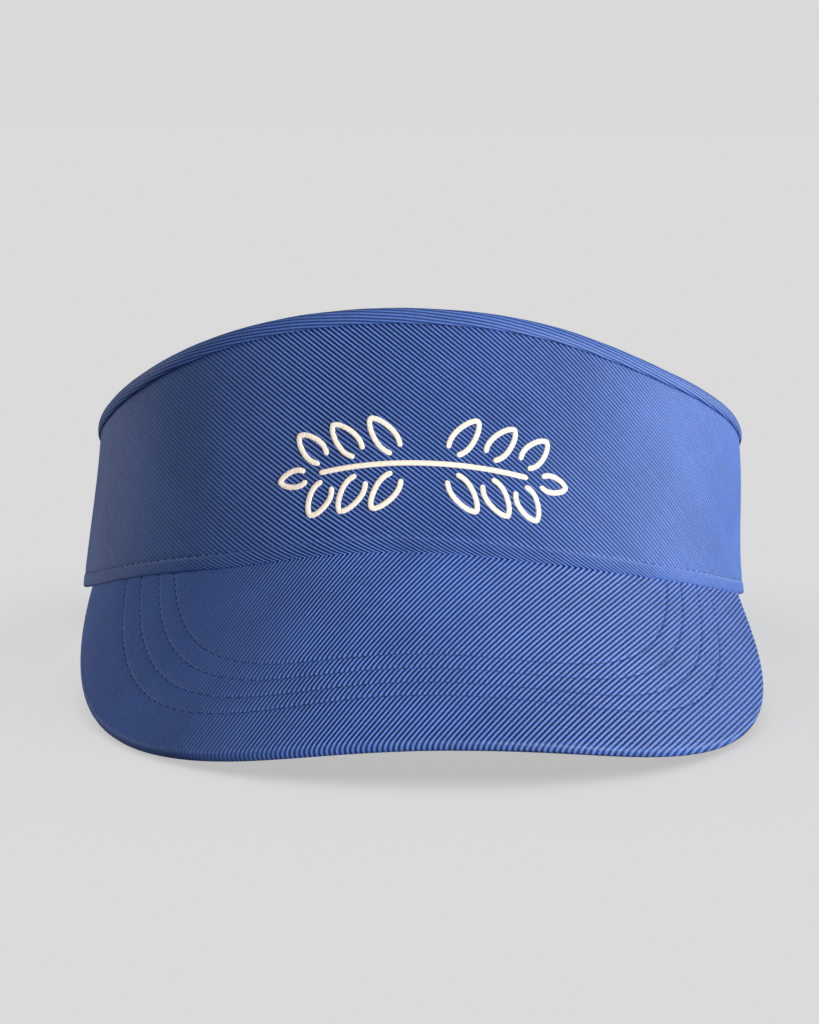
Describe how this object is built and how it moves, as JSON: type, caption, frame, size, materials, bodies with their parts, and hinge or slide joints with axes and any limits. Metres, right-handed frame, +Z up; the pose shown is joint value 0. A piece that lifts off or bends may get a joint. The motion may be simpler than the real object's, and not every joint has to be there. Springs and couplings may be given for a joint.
{
  "type": "sun visor",
  "caption": "Open-crown sun visor with a tall curved front panel, stitched curved brim, rear bands and a strap with a cam-lever clasp.",
  "frame": {"origin": "centre of the head opening, on the base plane of the head ring", "axes": "+Z up from the surface the visor rests on, front and brim towards -Y, the wearer's left towards +X; the head ring is pitched 9.07 degrees front up about X"},
  "size_m": [0.1764, 0.2622, 0.0954],
  "materials": {
    "twill": "heavy blue cotton twill with a steep diagonal rib, washed",
    "binding_twill": "blue twill tape, rolled over the edge",
    "strap_webbing": "flat blue cotton webbing",
    "buckram": "stiff open-weave buckram",
    "lining_cotton": "plain blue cotton",
    "sweatband_terry": "off-white looped cotton terry",
    "brim_plastic": "flexible polyethylene sheet",
    "thread_blue": "blue polyester sewing thread",
    "thread_cream": "cream chain-stitch yarn",
    "label_ribbon": "blank woven satin ribbon",
    "clasp_brass": "antique brushed brass",
    "pin_brass": "bright brass"
  },
  "bodies": {
    "front": {"front_panel_shell": "twill", "front_panel_stiffener": "buckram", "front_panel_lining": "lining_cotton", "front_top_binding": "binding_twill", "front_sweatband": "sweatband_terry", "brim_top_cover": "twill", "brim_board": "brim_plastic", "brim_under_cover": "twill", "brim_stitch_row_1": "thread_blue", "brim_stitch_row_2": "thread_blue", "brim_stitch_row_3": "thread_blue", "brim_stitch_row_4": "thread_blue", "front_hem_stitching": "thread_blue", "front_binding_stitching": "thread_blue", "front_sweatband_stitching": "thread_blue", "embroidery_motif": "thread_cream"},
    "left_band": {"left_band_shell": "twill", "left_band_interlining": "buckram", "left_band_lining": "lining_cotton", "left_band_binding": "binding_twill", "left_sweatband": "sweatband_terry", "left_band_end_stitching": "thread_blue", "buckle_tab": "twill", "buckle_frame": "clasp_brass", "lever_pin": "pin_brass", "size_label": "label_ribbon"},
    "right_band": {"right_band_shell": "twill", "right_band_interlining": "buckram", "right_band_lining": "lining_cotton", "right_band_binding": "binding_twill", "right_sweatband": "sweatband_terry", "right_band_end_stitching": "thread_blue", "adjuster_strap": "strap_webbing"},
    "lever": {"buckle_lever": "clasp_brass"}
  },
  "joints": [
    {"name": "left_band_flex", "type": "hinge", "parent": "front", "child": "left_band", "pos_m": [-0.0866, 0.01383, -0.00221], "axis": [0, 0.1576, 0.9875], "range_deg": [-7, 7]},
    {"name": "right_band_flex", "type": "hinge", "parent": "front", "child": "right_band", "pos_m": [0.0866, 0.01383, -0.00221], "axis": [0, 0.1576, 0.9875], "range_deg": [-7, 7]},
    {"name": "buckle_lever_hinge", "type": "hinge", "parent": "left_band", "child": "lever", "pos_m": [-0.00882, 0.10167, -0.00256], "axis": [0, -0.1576, -0.9875], "range_deg": [0, 110]}
  ],
  "couplings": [
    {"joint": "right_band_flex", "follows": "left_band_flex", "ratio": -1}
  ]
}
